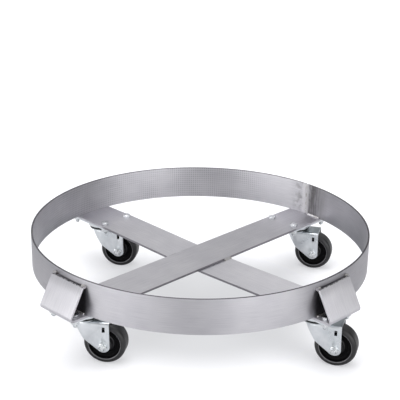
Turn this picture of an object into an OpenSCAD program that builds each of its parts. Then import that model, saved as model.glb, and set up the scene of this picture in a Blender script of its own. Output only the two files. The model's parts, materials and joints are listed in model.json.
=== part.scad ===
// Drum dolly: a flat steel ring standing on two crossed bars, with a swivel caster under each bar end.
// Millimetres, +Z up. The origin is on the floor under the ring's centre; the upper bar runs along X.

/* [Ring] */
// Inside diameter of the ring, for a drum of about 585 mm
ring_id = 610; // [580:1:640]
// Thickness of the ring's strip
ring_t = 3; // [2:0.5:4]
// Height of the ring's strip
ring_h = 64; // [50:1:80]
// Width of the butt joint where the strip's ends meet
seam_w = 2.4; // [1.5:0.1:4]

/* [Cross bars] */
// Height of the bars' top face above the floor
deck_z = 104; // [102:0.5:110]
// Width of a bar
bar_w = 80; // [78:1:90]
// Thickness of a bar
bar_t = 4; // [3:0.5:5]
// Distance from the centre where the lower bar starts to rise
dip_in = 46; // [45:1:60]
// Distance from the centre where the lower bar is level again
dip_out = 222; // [180:1:225]

/* [Turned-up bar ends] */
// Reach of a bar end from the centre
end_r = 340.5; // [338:0.5:346]
// Height of the turned-up edge above the bar
end_h = 54; // [40:1:58]
// Slope of the turned-up plate from level
end_tilt = 61; // [60:0.5:63]
// Inside radius of the bend
bend_r = 3; // [2:0.5:4]

/* [Welds] */
// Leg of the fillet welds along the ring
fillet = 4; // [2:0.5:4.5]
// Length of a short weld at the crossing
cross_weld_l = 17; // [8:1:30]
// Radius of a tack weld at a turned-up end's corner
tack_r = 3; // [2.5:0.5:4]

/* [Caster mounting] */
// Distance of a swivel axis from the centre
caster_r = 278.5; // [275:0.5:280]
// Length of a top plate, along the bar
plate_l = 105; // [100:1:108]
// Width of a top plate
plate_w = 78; // [74:1:80]
// Thickness of a top plate
plate_t = 3; // [2.5:0.5:4]
// Bolt spacing along the bar
bolt_dx = 86; // [80:1:88]
// Bolt spacing across the bar
bolt_dy = 57; // [50:1:60]
// Shank diameter of the caster bolts
bolt_d = 8; // [7.5:0.5:8]
// Length of a caster bolt under its head
bolt_l = 20; // [18:1:22]

/* [Caster] */
// Diameter of a wheel
wheel_d = 73.5; // [70:0.5:76]
// Width of a wheel's tread
wheel_w = 31; // [26:0.5:32]
// Distance of the wheel's axle behind the swivel axis
trail = 38; // [36:0.5:40]
// Half the outside width of the fork
fork_w2 = 21; // [20.5:0.5:22]
// Thickness of the fork's sheet
fork_t = 3; // [2.5:0.5:3]
// Height of the fork's roof above the floor
roof_z = 80; // [79:0.5:81]
// Diameter of the axle bolt's shank
axle_d = 9.5; // [8:0.5:10]
// Diameter of the balls between plate and fork
ball_d = 6; // [5.5:0.5:6]
// Number of balls between plate and fork
ball_n = 16; // [8:1:16]
// Direction in which each fork trails, degrees from +X: left, right, front, rear
trails = [-56, -60, -62, -56];

/* [Hidden] */
$fn = 96;
ring_ri = ring_id / 2;
ring_ro = ring_ri + ring_t;
bar_z = deck_z - bar_t;
plate_z = bar_z - plate_t;

// turned-up end
bend_ro = bend_r + bar_t;
bend_x = end_r - bend_ro;
bend_z = bar_z + bend_ro;
bend_a = 90 - end_tilt;
bend_steps = 12;
slope_l = (deck_z + end_h - bend_z - bend_ro * sin(bend_a)) / cos(bend_a);

// seam bead: a low crown on each side of the strip
seam_rise = 0.9;
seam_half = 3.2;
seam_r = (seam_half * seam_half + seam_rise * seam_rise) / (2 * seam_rise);

// tack welds
tack_l = 7;
tack_y = bar_w / 2 - tack_l / 2;

// fasteners
bolt_hole_d = bolt_d + 1;
nut_af = 13;
nut_h = 6.5;
head_h = 5;
thread_gap = 0.1;

// swivel head, from the top plate down
race_pitch = 17;
race_gap = 0.3;
upper_race_r = 26;
lower_race_r = 24;
ball_z = plate_z - 9.5;
upper_race_z = ball_z + 2;
lower_race_z = ball_z - 2;
pin_d = 12;
pin_head_d = 20;
pin_head_h = 2.6;
pin_gap = 0.4;
small_ball_d = 4.5;
small_ball_n = 12;
small_pitch = 10;
small_ball_z = roof_z - fork_t - 3;
cup_r = 13.4;
cup_top = small_ball_z - 1;
cup_t = 3.5;
rivet_d = 18;
rivet_h = 3;
rivet_z = cup_top - cup_t - rivet_h;

// fork
fork_front = 4;
fork_rear = 48;
lobe_r = 12;
slot_w = 5;
slot_h = 9.5;
slot_s = 38.5;
slot_z = 66.8;

// wheel and axle
axle_z = wheel_d / 2;
shoulder_r = 7;
tread_depth = 9.5;
web_w2 = 8;
hub_r = 13;
hub_l = 33;
bush_r = 8;
sleeve_r = 6.35;
run_gap = 0.06;
axle_af = 14.3;
axle_head_h = 6.2;
axle_nut_h = 10.5;
collar_h = 3;
collar_d = 13;
axle_out = 0.8;
fork_in2 = fork_w2 - fork_t;

side = ["left", "right", "front", "rear"];
ends = [180, 0, -90, 90];
caster_parts = ["top_plate", "kingpin", "upper_balls", "lower_balls", "lower_race",
                "fork", "axle_bolt", "axle_nut", "axle_sleeve", "wheel", "hub_bush"];

// ---- placing ----

// at the swivel axis of caster i, with X out along the bar
module on_bar(i) rotate([0, 0, ends[i]]) translate([caster_r, 0, 0]) children();

// at the swivel axis of caster i, with X along the fork's trail
module on_fork(i) {
    translate(caster_r * [cos(ends[i]), sin(ends[i]), 0]) rotate([0, 0, trails[i]]) children();
}

// at the axle of caster i, with Z along the axle, away from the bolt's head
module on_axle(i) on_fork(i) translate([trail, 0, axle_z]) rotate([90, 0, 0]) children();

// at each of a caster's four bolts
module at_bolts() {
    for (x = [-1, 1], y = [-1, 1])
        translate([x * bolt_dx / 2, y * bolt_dy / 2, 0]) children();
}

// ---- ring and bars ----

module ring() {
    color("silver") difference() {
        rotate_extrude($fn = 240) translate([ring_ri, deck_z]) square([ring_t, ring_h]);
        translate([ring_ri - 1, -seam_w / 2, deck_z - 1]) cube([ring_t + 2, seam_w, ring_h + 2]);
    }
}

module seam_crown() intersection() {
    translate([seam_r - seam_rise, 0]) circle(r = seam_r);
    translate([-seam_rise, -seam_half]) square([seam_rise, 2 * seam_half]);
}

module ring_seam_weld() {
    color("gray") translate([0, 0, deck_z]) linear_extrude(ring_h) {
        translate([ring_ri, -seam_w / 2]) square([ring_t, seam_w]);
        translate([ring_ri, 0]) seam_crown();
        translate([ring_ro, 0]) mirror([1, 0]) seam_crown();
    }
}

// fillet along the ring's foot; way is 1 outside the ring, -1 inside
module fillet_weld(r, way, from, to) {
    rotate([0, 0, from]) rotate_extrude(angle = to - from, $fn = 240) translate([r, deck_z])
        polygon([[0, 0], [way * fillet, 0], [0, fillet]]);
}

module ring_welds() {
    half = asin((bar_w / 2 - 4) / ring_ro);
    color("gray") {
        for (a = ends) fillet_weld(ring_ro, 1, a - half, a + half);
        fillet_weld(ring_ri, -1, -asin(bar_w / 2 / ring_ri), -1);
    }
}

// points on an arc about the bend's centre
function bend_points(r, from, to) = [for (k = [0:bend_steps])
    let (a = from + k * (to - from) / bend_steps) [bend_x + r * cos(a), bend_z + r * sin(a)]];

// corner of the turned-up edge, on the bend's inside or outside face
function tip(r) = [bend_x + r * cos(bend_a) - slope_l * sin(bend_a),
                   bend_z + r * sin(bend_a) + slope_l * cos(bend_a)];

// half of a bar's outline, seen from its side; drop is how far its middle lies below its end
function half_bar(drop) = concat(
    [[dip_in, bar_z - drop], [dip_out, bar_z]],
    bend_points(bend_ro, -90, bend_a),
    [tip(bend_ro), tip(bend_r)],
    bend_points(bend_r, bend_a, -90),
    [[dip_out, deck_z], [dip_in, deck_z - drop]]
);

// a bar along X with its ends turned up and its bolt holes
module bar(drop) difference() {
    rotate([90, 0, 0]) linear_extrude(bar_w, center = true) {
        half = half_bar(drop);
        polygon(concat(half, [for (k = [len(half) - 1:-1:0]) [-half[k][0], half[k][1]]]));
    }
    for (i = [0, 1]) on_bar(i) at_bolts()
        translate([0, 0, bar_z - 1]) cylinder(d = bolt_hole_d, h = bar_t + 2);
}

module upper_bar() color("lightgray") bar(0);

module lower_bar() color("lightgray") rotate([0, 0, 90]) bar(bar_t);

// two short fillets that join the bars, one on each side of the upper bar
module crossing_welds() {
    color("gray") for (a = [0, 180])
        rotate([0, 0, a]) translate([bar_w / 2 - cross_weld_l, -bar_w / 2, bar_z]) rotate([90, 0, 90])
            linear_extrude(cross_weld_l) polygon([[0, 0], [-fillet, 0], [0, bar_t]]);
}

// tack welds between the turned-up plates' upper corners and the ring
module end_tack_welds() {
    color("gray") for (a = ends, y = [-1, 1])
        rotate([0, 0, a]) translate([tip(bend_r)[0] - tack_r / 2, y * tack_y, tip(bend_r)[1] + 1])
            rotate([90, 0, 0]) cylinder(r = tack_r, h = tack_l, center = true, $fn = 32);
}

// ---- fasteners ----

module hex(af, h) cylinder(d = af / cos(30), h = h, $fn = 6);

module nut(d, af, h) difference() {
    intersection() {
        hex(af, h);
        cylinder(d = af * 1.1, h = h);
    }
    translate([0, 0, -1]) cylinder(d = d + thread_gap, h = h + 2);
}

module caster_bolts() {
    color("whitesmoke") for (i = [0:3]) on_bar(i) at_bolts() {
        translate([0, 0, deck_z]) hex(nut_af, head_h);
        translate([0, 0, deck_z - bolt_l]) cylinder(d = bolt_d, h = bolt_l + 1);
    }
}

module caster_nuts() {
    color("whitesmoke") for (i = [0:3]) on_bar(i) at_bolts()
        translate([0, 0, plate_z - nut_h]) nut(bolt_d, nut_af, nut_h);
}

// ---- caster: what is fixed to the bar ----

module plate_outline(r) {
    square([plate_l - 2 * r, plate_w], center = true);
    square([plate_l, plate_w - 2 * r], center = true);
    for (x = [-1, 1], y = [-1, 1])
        translate([x * (plate_l / 2 - r), y * (plate_w / 2 - r)]) circle(r = r);
}

module race_groove(z) {
    translate([0, 0, z]) rotate_extrude() translate([race_pitch, 0])
        circle(d = ball_d + 2 * race_gap, $fn = 32);
}

module top_plate(i) {
    color("gainsboro") on_bar(i) difference() {
        union() {
            translate([0, 0, plate_z]) linear_extrude(plate_t) plate_outline(8);
            translate([0, 0, upper_race_z]) cylinder(r = upper_race_r, h = plate_z - upper_race_z + 1);
        }
        at_bolts() translate([0, 0, plate_z - 1]) cylinder(d = bolt_hole_d, h = plate_t + 2);
        translate([0, 0, upper_race_z - 1]) cylinder(d = pin_d + thread_gap, h = bar_z);
        translate([0, 0, bar_z - pin_head_h - race_gap]) cylinder(d = pin_head_d + 1, h = plate_t + 1);
        race_groove(ball_z);
    }
}

// riveted pin that holds plate, fork and lower race together
module kingpin(i) {
    color("gainsboro") on_bar(i) {
        translate([0, 0, bar_z - pin_head_h - race_gap]) cylinder(d = pin_head_d, h = pin_head_h);
        translate([0, 0, rivet_z + 1]) cylinder(d = pin_d, h = bar_z - pin_head_h - rivet_z - 1);
        translate([0, 0, rivet_z]) cylinder(d = rivet_d, h = rivet_h);
    }
}

module ball_circle(pitch, d, n, z) {
    for (k = [0:n - 1]) rotate([0, 0, k * 360 / n]) translate([pitch, 0, z]) sphere(d = d, $fn = 24);
}

module upper_balls(i) color("silver") on_bar(i) ball_circle(race_pitch, ball_d, ball_n, ball_z);

module lower_balls(i) color("silver") on_bar(i)
    ball_circle(small_pitch, small_ball_d, small_ball_n, small_ball_z);

module lower_race(i) {
    color("gainsboro") on_bar(i) difference() {
        translate([0, 0, cup_top - cup_t]) cylinder(r = cup_r, h = cup_t);
        translate([0, 0, cup_top - cup_t - 1]) cylinder(d = pin_d + thread_gap, h = cup_t + 2);
        translate([0, 0, small_ball_z]) rotate_extrude() translate([small_pitch, 0])
            circle(d = small_ball_d + race_gap, $fn = 32);
    }
}

// ---- caster: the fork and what turns with it ----

// U shape of the fork from above, w2 its half width
module fork_plan(w2, rear) {
    translate([fork_front, 0]) circle(r = w2);
    translate([fork_front, -w2]) square([rear - fork_front, 2 * w2]);
}

// side view of the fork: raked front edge, lobe round the axle
module fork_side() {
    polygon([[-fork_w2, roof_z], [fork_rear, roof_z], [fork_rear + 1, axle_z - 4],
             [fork_rear - 4, axle_z - 10], [trail - 11, axle_z - 8], [4.6, 46], [-15, 75], [-fork_w2, 75]]);
    translate([trail - 0.5, axle_z - 0.5]) circle(r = lobe_r);
}

module fork(i) {
    color("lightsteelblue") on_fork(i) difference() {
        union() {
            intersection() {
                linear_extrude(roof_z) fork_plan(fork_w2, fork_rear + 2);
                rotate([90, 0, 0]) linear_extrude(3 * fork_w2, center = true) fork_side();
            }
            translate([0, 0, roof_z - 1]) cylinder(r = lower_race_r, h = lower_race_z - roof_z + 1);
        }
        translate([0, 0, -1]) linear_extrude(roof_z - fork_t + 1) fork_plan(fork_in2, fork_rear + 9);
        translate([0, 0, roof_z - fork_t - 1]) cylinder(d = pin_d + 2 * pin_gap, h = 30);
        race_groove(ball_z);
        translate([slot_s, 0, slot_z]) cube([slot_w, 3 * fork_w2, slot_h], center = true);
        translate([trail, 0, axle_z]) rotate([90, 0, 0])
            cylinder(d = axle_d + thread_gap, h = 3 * fork_w2, center = true);
    }
}

module axle_bolt(i) {
    color("whitesmoke") on_axle(i) {
        translate([0, 0, -fork_w2 - axle_head_h]) hex(axle_af, axle_head_h);
        translate([0, 0, -fork_w2 - 1]) cylinder(d = axle_d, h = 2 * fork_w2 + axle_nut_h + axle_out + 1);
    }
}

// lock nut: a hexagon with a round collar
module axle_nut(i) {
    color("whitesmoke") on_axle(i) translate([0, 0, fork_w2]) difference() {
        union() {
            intersection() {
                hex(axle_af, axle_nut_h - collar_h);
                cylinder(d = axle_af * 1.1, h = axle_nut_h);
            }
            cylinder(d = collar_d, h = axle_nut_h);
        }
        translate([0, 0, -1]) cylinder(d = axle_d + thread_gap, h = axle_nut_h + 2);
    }
}

// spacer tube that the bolt clamps between the fork's legs
module axle_sleeve(i) {
    color("silver") on_axle(i) difference() {
        cylinder(r = sleeve_r, h = 2 * fork_in2, center = true);
        cylinder(d = axle_d + thread_gap, h = 2 * fork_w2, center = true);
    }
}

// ---- caster: the wheel ----

// half section of the wheel, from the hub's bore out to the tread
module wheel_section() {
    r = wheel_d / 2;
    w2 = wheel_w / 2;
    translate([bush_r, -hub_l / 2]) square([hub_r - bush_r, hub_l]);
    translate([bush_r, -web_w2]) square([r - tread_depth - bush_r + 1, 2 * web_w2]);
    translate([hub_r + 5, -web_w2 - 1.5]) square([2.5, 2 * web_w2 + 3]);
    translate([r - tread_depth, -w2]) square([tread_depth - shoulder_r, 2 * w2]);
    translate([r - tread_depth, -w2 + shoulder_r]) square([tread_depth, 2 * (w2 - shoulder_r)]);
    for (y = [-1, 1]) translate([r - shoulder_r, y * (w2 - shoulder_r)]) circle(r = shoulder_r);
}

module wheel(i) color("dimgray") on_axle(i) rotate_extrude() wheel_section();

module hub_bush(i) {
    color("darkgray") on_axle(i) difference() {
        cylinder(r = bush_r, h = hub_l, center = true);
        cylinder(r = sleeve_r + run_gap, h = hub_l + 2, center = true);
    }
}

ring();
ring_seam_weld();
ring_welds();
upper_bar();
lower_bar();
crossing_welds();
end_tack_welds();
caster_bolts();
caster_nuts();
for (i = [0:3]) {
    top_plate(i);
    kingpin(i);
    upper_balls(i);
    lower_balls(i);
    lower_race(i);
    fork(i);
    axle_bolt(i);
    axle_nut(i);
    axle_sleeve(i);
    wheel(i);
    hub_bush(i);
}
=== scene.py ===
# Drum dolly: the looks of a stainless ring on two crossed bars with four swivel casters. Metres, +Z up.
import json
import math
import bmesh
import bpy
from mathutils import Matrix, Vector


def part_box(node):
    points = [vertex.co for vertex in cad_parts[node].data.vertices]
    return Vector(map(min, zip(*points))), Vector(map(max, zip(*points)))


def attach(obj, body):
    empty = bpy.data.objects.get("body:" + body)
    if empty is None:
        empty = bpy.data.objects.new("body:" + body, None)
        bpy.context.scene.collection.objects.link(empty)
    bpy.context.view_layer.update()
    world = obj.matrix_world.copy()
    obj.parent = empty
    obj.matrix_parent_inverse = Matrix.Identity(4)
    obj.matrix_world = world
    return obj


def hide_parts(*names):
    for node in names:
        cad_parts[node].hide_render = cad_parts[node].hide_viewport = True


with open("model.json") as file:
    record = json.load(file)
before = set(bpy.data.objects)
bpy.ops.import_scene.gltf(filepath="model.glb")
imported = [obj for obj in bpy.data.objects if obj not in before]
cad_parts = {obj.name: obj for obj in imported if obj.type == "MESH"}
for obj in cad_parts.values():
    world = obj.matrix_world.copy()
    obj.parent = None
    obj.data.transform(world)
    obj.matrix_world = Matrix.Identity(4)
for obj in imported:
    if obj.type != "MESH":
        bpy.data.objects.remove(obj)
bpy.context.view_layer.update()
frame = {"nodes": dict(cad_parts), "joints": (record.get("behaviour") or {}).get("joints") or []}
mm = 0.001
sides = ["left", "right", "front", "rear"]
joints = {joint["child"]: joint for joint in frame["joints"]}
scene = bpy.context.scene
print("frame loaded:", len(frame["nodes"]), "nodes")


# an sRGB hex value as linear light
def paint(code):
    channels = [int(code[k:k + 2], 16) / 255 for k in (1, 3, 5)]
    return [c / 12.92 if c <= 0.04045 else ((c + 0.055) / 1.055) ** 2.4 for c in channels] + [1.0]


# adds one node: settings are its properties, inputs are values or output sockets to link from
def addNode(tree, kind, inputs=None, **settings):
    node = tree.nodes.new(kind)
    for key, value in settings.items():
        setattr(node, key, value)
    for key, value in (inputs or {}).items():
        if isinstance(value, bpy.types.NodeSocket):
            tree.links.new(value, node.inputs[key])
        else:
            node.inputs[key].default_value = value
    return node


def link(obj):
    scene.collection.objects.link(obj)
    return obj


# a mesh object with its hard edges kept where faces meet at more than sharp degrees
def meshObject(name, verts, faces, material, sharp=40):
    mesh = bpy.data.meshes.new(name)
    mesh.from_pydata([tuple(v) for v in verts], [], faces)
    mesh.materials.append(material)
    obj = link(bpy.data.objects.new(name, mesh))
    smooth(obj, sharp)
    return obj


def smooth(obj, sharp=40):
    obj.data.shade_smooth()
    obj.data.set_sharp_from_angle(angle=math.radians(sharp))


# replaces an object's mesh by what its modifiers make of it
def applyModifiers(obj):
    graph = bpy.context.evaluated_depsgraph_get()
    mesh = bpy.data.meshes.new_from_object(
        obj.evaluated_get(graph), preserve_all_data_layers=True, depsgraph=graph)
    obj.modifiers.clear()
    obj.data = mesh
    return obj


# quads between closed rows of points; spin joins the last row to the first, otherwise both ends are capped.
# the uv map named surface is in metres: u runs from row to row, v along a row
def skinRows(name, rows, material, spin=False, sharp=40):
    n = len(rows[0])
    verts = [p for row in rows for p in row]
    faces, corners = [], []
    runs = [0.0]
    for k in range(1, len(rows) + 1):
        runs.append(runs[-1] + max((rows[k % len(rows)][j] - rows[k - 1][j]).length for j in range(n)))
    across = [0.0]
    for j in range(1, n + 1):
        across.append(across[-1] + max((row[j % n] - row[j - 1]).length for row in rows))
    for k in range(len(rows) if spin else len(rows) - 1):
        for j in range(n):
            a, b = k * n + j, k * n + (j + 1) % n
            c, d = ((k + 1) % len(rows)) * n + (j + 1) % n, ((k + 1) % len(rows)) * n + j
            faces.append((a, b, c, d))
            corners.append([(runs[k], across[j]), (runs[k], across[j + 1]),
                            (runs[k + 1], across[j + 1]), (runs[k + 1], across[j])])
    if not spin:
        for start in (0, (len(rows) - 1) * n):
            ring = tuple(range(start, start + n))
            faces.append(ring[::-1] if start == 0 else ring)
            corners.append([(0.0, across[j]) for j in range(n)])
    obj = meshObject(name, verts, faces, material, sharp)
    layer = obj.data.uv_layers.new(name="surface")
    for face, uvs in zip(obj.data.polygons, corners):
        for index, uv in zip(face.loop_indices, uvs):
            layer.data[index].uv = uv
    return tidyMesh(obj, sharp)


# merges doubles, closes what is open and turns every face outwards
def tidyMesh(obj, sharp=40):
    bm = bmesh.new()
    bm.from_mesh(obj.data)
    bmesh.ops.remove_doubles(bm, verts=bm.verts, dist=1e-6)
    bmesh.ops.dissolve_degenerate(bm, edges=bm.edges, dist=1e-7)
    bmesh.ops.recalc_face_normals(bm, faces=bm.faces)
    bm.to_mesh(obj.data)
    bm.free()
    smooth(obj, sharp)
    return obj


# turns a profile of (radius, height) points round Z
def lathe(name, profile, material, steps=96, sharp=40):
    rows = []
    for k in range(steps):
        angle = 2 * math.pi * k / steps
        rows.append([Vector((r * math.cos(angle), r * math.sin(angle), z)) for r, z in profile])
    return skinRows(name, rows, material, spin=True, sharp=sharp)


# an outline with its corners rounded; points are (x, y, radius)
def roundedOutline(points, steps=6):
    out = []
    for k, (x, y, radius) in enumerate(points):
        here = Vector((x, y))
        toLast = (Vector(points[k - 1][:2]) - here).normalized()
        toNext = (Vector(points[(k + 1) % len(points)][:2]) - here).normalized()
        turn = math.pi - toLast.angle(toNext)
        if radius <= 0 or turn < 1e-3:
            out.append(here)
            continue
        reach = radius * math.tan(turn / 2)
        start, end = here + toLast * reach, here + toNext * reach
        centre = here + (toLast + toNext).normalized() * radius / math.cos(turn / 2)
        for j in range(steps + 1):
            share = j / steps
            spoke = (start - centre).lerp(end - centre, share)
            out.append(centre + spoke.normalized() * radius)
    return out


# a straight solid: an outline in the plane of two axes, drawn between two distances along the third
def prism(name, outline, across, low, high, material):
    rows = []
    for along in (low, high):
        rows.append([across(p[0], p[1], along) for p in outline])
    return skinRows(name, rows, material)


def cutWith(obj, tool, operation="DIFFERENCE"):
    modifier = obj.modifiers.new("cut", "BOOLEAN")
    modifier.operation = operation
    modifier.solver = "EXACT"
    modifier.object = tool
    applyModifiers(obj)
    bpy.data.objects.remove(tool)
    return obj


# drills a round hole along Z between two heights; the matrix puts the drill in place
def drill(obj, radius, low, high, steps, matrix=Matrix.Identity(4)):
    profile = [(0, low), (radius, low), (radius, high), (0, high)]
    tool = lathe("drill", profile, obj.data.materials[0], steps)
    tool.data.transform(matrix)
    cutWith(obj, tool)


# breaks an object's hard edges, as tumbling or deburring leaves them
def breakEdges(obj, width):
    bm = bmesh.new()
    bm.from_mesh(obj.data)
    bmesh.ops.remove_doubles(bm, verts=bm.verts, dist=2e-6)
    bmesh.ops.dissolve_limit(bm, angle_limit=math.radians(0.5), verts=bm.verts, edges=bm.edges)
    bm.to_mesh(obj.data)
    bm.free()
    modifier = obj.modifiers.new("edges", "BEVEL")
    modifier.width = width
    modifier.segments = 2
    modifier.limit_method = "ANGLE"
    modifier.angle_limit = math.radians(35)
    modifier.miter_outer = "MITER_ARC"
    applyModifiers(obj)
    smooth(obj, 50)


# a mesh's copy, turned and moved into place, as its own piece
def placed(master, name, matrix):
    obj = link(bpy.data.objects.new(name, master.data.copy()))
    obj.data.transform(matrix)
    return obj


def give(piece, body, slotName, *nodes):
    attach(piece, body)
    if nodes:
        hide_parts(*nodes)


ringLow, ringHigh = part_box("ring")
barLow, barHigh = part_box("upper_bar")
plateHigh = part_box("top_plate_right")[1]
deckZ = ringLow.z
ringOut = ringHigh.y
barWide = barHigh.y - barLow.y
barThick = deckZ - barLow.z
casterR = joints["swivel_right"]["pos_m"][0]
axleZ = joints["roller_right"]["pos_m"][2]
trail = (Vector(joints["roller_right"]["pos_m"]) - Vector(joints["swivel_right"]["pos_m"])).xy.length
boltPitch = (86 * mm, 57 * mm)    # spacing of the caster bolts along and across a bar
boltHole = 4.5 * mm    # radius
plateThick = 3 * mm
plateUnder = plateHigh.z - plateThick
quarterTurn = math.pi / 2


# the frame of a caster's fork: X along its trail, Y along its axle, origin on the floor under the swivel axis
def forkMatrix(side):
    pivot = Vector(joints["swivel_" + side]["pos_m"])
    axis = Vector(joints["roller_" + side]["axis"]).normalized()
    x = Vector((axis.y, -axis.x, 0))
    basis = Matrix((x, axis, Vector((0, 0, 1)))).transposed().to_4x4()
    return Matrix.Translation((pivot.x, pivot.y, 0)) @ basis


# the frame of a caster's top plate: X out along its bar
def plateMatrix(side):
    pivot = Vector(joints["swivel_" + side]["pos_m"])
    angle = math.atan2(pivot.y, pivot.x)
    return Matrix.Translation((pivot.x, pivot.y, 0)) @ Matrix.Rotation(angle, 4, "Z")


# the frame of a wheel: Z along its axle, away from the bolt's head
def axleMatrix(side):
    return forkMatrix(side) @ Matrix.Translation((trail, 0, axleZ)) @ Matrix.Rotation(quarterTurn, 4, "X")


# an empty material, its tree, and the place on the object that its patterns read
def newMaterial(name):
    material = bpy.data.materials.new(name)
    material.use_nodes = True
    tree = material.node_tree
    tree.nodes.clear()
    return material, tree, addNode(tree, "ShaderNodeTexCoord").outputs["Object"]


# the end of a material; relief is a height, its strength and its depth in metres
def closeMaterial(tree, inputs, relief=None):
    if relief:
        raised = addNode(tree, "ShaderNodeBump", dict(zip(("Height", "Strength", "Distance"), relief)))
        inputs["Normal"] = raised.outputs[0]
    shader = addNode(tree, "ShaderNodeBsdfPrincipled", inputs)
    addNode(tree, "ShaderNodeOutputMaterial", {"Surface": shader.outputs[0]})


# noise drawn out by three lengths in metres, as seen along X, Y and Z
def stretchedNoise(tree, vector, lengths, detail=3.0, roughness=0.55):
    scaled = addNode(tree, "ShaderNodeMapping", {"Vector": vector, "Scale": [1 / x for x in lengths]})
    noise = addNode(tree, "ShaderNodeTexNoise",
                    {"Vector": scaled.outputs[0], "Scale": 1.0, "Detail": detail,
                                                 "Roughness": roughness})
    return noise.outputs["Fac"]


def remap(tree, value, low, high, toLow, toHigh):
    return addNode(tree, "ShaderNodeMapRange", {"Value": value, "From Min": low, "From Max": high,
                                                "To Min": toLow, "To Max": toHigh}).outputs[0]


def maths(tree, operation, a, b=0.0):
    return addNode(tree, "ShaderNodeMath", {0: a, 1: b}, operation=operation).outputs[0]


# lays a colour over another where the mask is 1, at most to the given depth
def stain(tree, colour, mask, code, depth=1.0):
    share = mask if depth == 1.0 else maths(tree, "MULTIPLY", mask, depth)
    return addNode(tree, "ShaderNodeMix", {0: share, 6: colour, 7: paint(code)},
                   data_type="RGBA").outputs[2]


# brushed stainless sheet, EN 1.4301: satin, cool grey, with hair-fine lines along the grain
steelLook = {"light": "#D3D2D6", "dark": "#BEBDC3", "roughness": (0.42, 0.54), "grainStretch": 0.85,
             "grainLong": 45 * mm,
             "grainWide": 0.55 * mm,    # real lines are about 0.1 mm, drawn coarser so that they show
             "cloud": 70 * mm, "bump": 0.10}


def steelNodes(tree, vector, look, long, wide):
    lines = stretchedNoise(tree, vector, [look["grainLong"] if k in long else look["grainWide"] if k in wide
                                          else look["cloud"] for k in "xyz"], 4.0, 0.6)
    cloud = stretchedNoise(tree, vector, [look["cloud"]] * 3, 2.0)
    tone = maths(tree, "ADD", maths(tree, "MULTIPLY", lines, 0.6), maths(tree, "MULTIPLY", cloud, 0.4))
    share = remap(tree, tone, 0.35, 0.65, 0.0, 1.0)
    colour = stain(tree, paint(look["dark"]), share, look["light"])
    rough = remap(tree, lines, 0.3, 0.7, look["roughness"][1], look["roughness"][0])
    return lines, colour, rough


# the grain spreads light across itself: U of the surface map runs along the grain,
# and a quarter turn sets it across
def steelShader(tree, colour, rough, lines):
    grain = addNode(tree, "ShaderNodeTangent", direction_type="UV_MAP", uv_map="surface").outputs[0]
    closeMaterial(tree, {"Base Color": colour, "Metallic": 1.0, "Roughness": rough, "Tangent": grain,
                         "Anisotropic": steelLook["grainStretch"], "Anisotropic Rotation": 0.25},
                         relief=(lines, steelLook["bump"], 0.05 * mm))


# 1 where value lies over edge, easing in over soft
def over(tree, value, edge, soft):
    return remap(tree, value, edge - soft / 2, edge + soft / 2, 0.0, 1.0)


def under(tree, value, edge, soft):
    return remap(tree, value, edge - soft / 2, edge + soft / 2, 1.0, 0.0)


def allOf(tree, *masks):
    product = masks[0]
    for mask in masks[1:]:
        product = maths(tree, "MULTIPLY", product, mask)
    return product


# painted shade: the bars' long edges inside the ring and the faces of the narrow gap behind a turned-up end
# are drawn darker; painted shadow: a dark band along each turned-up end's upper edge; the ring's top edge is
# drawn darker
paintedShadeAndEdgeLook = {"paintedEdgeShade": "#9B999F", "paintedPocketShade": "#807E83", "paintedPocketShadeDepth": 0.9, "stripEdge": "#66646A",
            "tip": "#1E1D20"}


# the bars are drawn a little lighter than the ring's strip
barLook = dict(steelLook, light="#DFDEE2", dark="#CAC9CF")


# the grain runs along each bar and up its turned-up ends
def barSteel(name, long, wide):
    material, tree, place = newMaterial(name)
    lines, colour, rough = steelNodes(tree, place, barLook, long, wide)
    split = addNode(tree, "ShaderNodeSeparateXYZ", {"Vector": place}).outputs
    along, across = split[long[0].upper()], maths(tree, "ABSOLUTE", split[wide.upper()])
    outFrom = maths(tree, "ABSOLUTE", along)
    # painted shade: the bars' long side edges are drawn darker inside the ring
    cut = allOf(tree, over(tree, across, 39.4 * mm, 0.3 * mm), under(tree, outFrom, 228 * mm, 12 * mm))
    colour = stain(tree, colour, cut, paintedShadeAndEdgeLook["paintedEdgeShade"])
    # painted shade: the faces of the turned-up ends that look inwards, into the narrow gap at the ring, are
    # drawn darker
    normal = addNode(tree, "ShaderNodeSeparateXYZ", {
        "Vector": addNode(tree, "ShaderNodeNewGeometry").outputs["True Normal"]}).outputs[long[0].upper()]
    inward = maths(tree, "MULTIPLY", maths(tree, "MULTIPLY", normal, -1.0), maths(tree, "SIGN", along))
    paintedPocketShade = allOf(tree, over(tree, inward, 0.5, 0.3), over(tree, split["Z"], deckZ + 5 * mm, 6 * mm),
                   under(tree, across, 39.6 * mm, 0.4 * mm))
    colour = stain(tree, colour, paintedPocketShade, paintedShadeAndEdgeLook["paintedPocketShade"], paintedShadeAndEdgeLook["paintedPocketShadeDepth"])
    # painted shadow: a ragged dark band along the upper edge of the turned-up ends, where the gap to the ring
    # falls dark
    ragged = remap(tree, stretchedNoise(tree, place, [4 * mm] * 3), 0.42, 0.56, 0.25, 0.95)
    tip = maths(tree, "MULTIPLY", over(tree, split["Z"], deckZ + 53 * mm, 0.8 * mm), ragged)
    colour = stain(tree, colour, tip, paintedShadeAndEdgeLook["tip"])
    steelShader(tree, colour, rough, lines)
    return material


strip = {"edge": 0.6 * mm, "segments": 480, "thickness": 3 * mm}
ringLook = {"dotPitch": 4.5 * mm, "dotColour": "#8E8D94", "tintDark": "#5E5A5C", "polished": "#E2E1E4"}


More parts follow.
